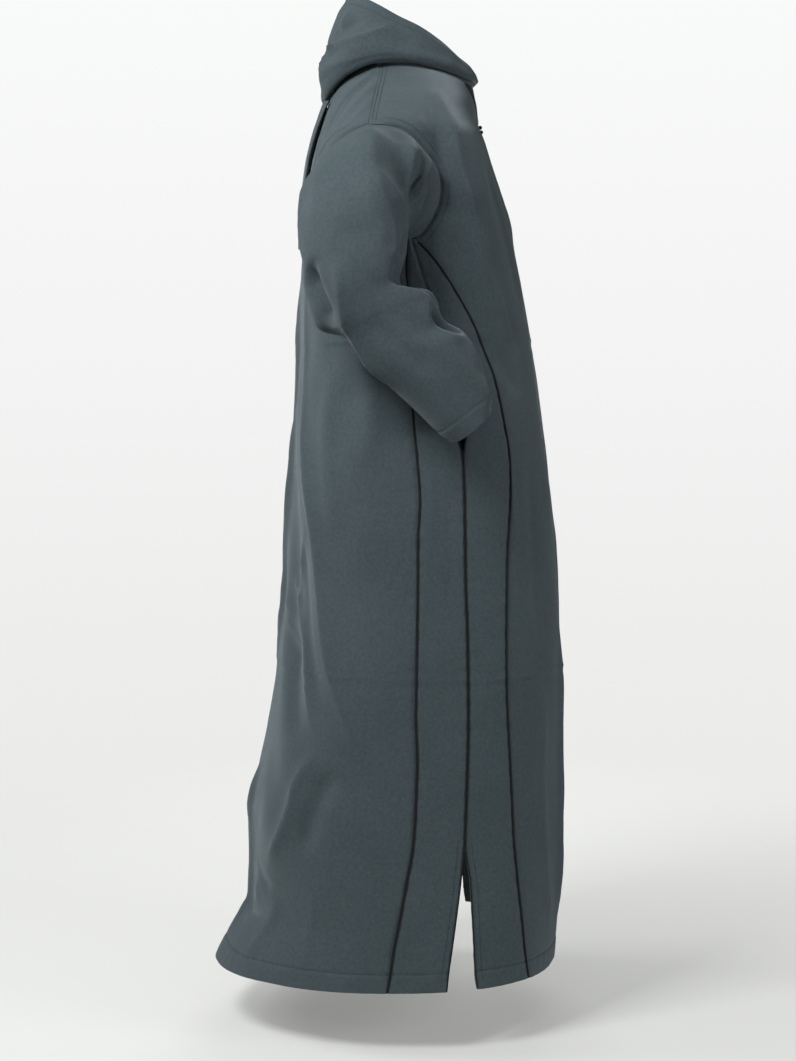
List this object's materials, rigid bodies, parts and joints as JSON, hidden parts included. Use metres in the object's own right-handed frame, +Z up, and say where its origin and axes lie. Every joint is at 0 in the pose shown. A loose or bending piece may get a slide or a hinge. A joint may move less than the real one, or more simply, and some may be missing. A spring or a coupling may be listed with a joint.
{
  "type": "djellaba",
  "caption": "Long hooded wool robe as worn: hollow body, arms bent to the side hand slits, hood down, black seam cord, side vents.",
  "frame": {"origin": "middle of the shoulder line at the base of the neck, where the wearer's shoulders carry the robe", "axes": "+Z up, towards the head; the front faces -Y; the wearer's right side is -X"},
  "size_m": [0.77, 0.561, 1.5377],
  "materials": {
    "wool_cloth": "matte, slightly napped twill",
    "black_cord": "dull braided cord"
  },
  "bodies": {
    "root": {"front_panel": "wool_cloth", "back_panel": "wool_cloth", "hood_right": "wool_cloth", "hood_left": "wool_cloth", "hood_point": "wool_cloth", "side_front_gore_right": "wool_cloth", "side_back_gore_right": "wool_cloth", "sleeve_right": "wool_cloth", "side_front_gore_left": "wool_cloth", "side_back_gore_left": "wool_cloth", "sleeve_left": "wool_cloth", "neck_braid_right": "black_cord", "neck_braid_left": "black_cord", "knot_button_1": "black_cord", "knot_button_2": "black_cord", "front_cord_right": "black_cord", "back_cord_right": "black_cord", "front_slit_edging_right": "black_cord", "back_slit_edging_right": "black_cord", "front_cord_left": "black_cord", "back_cord_left": "black_cord", "front_slit_edging_left": "black_cord", "back_slit_edging_left": "black_cord"}
  },
  "joints": []
}
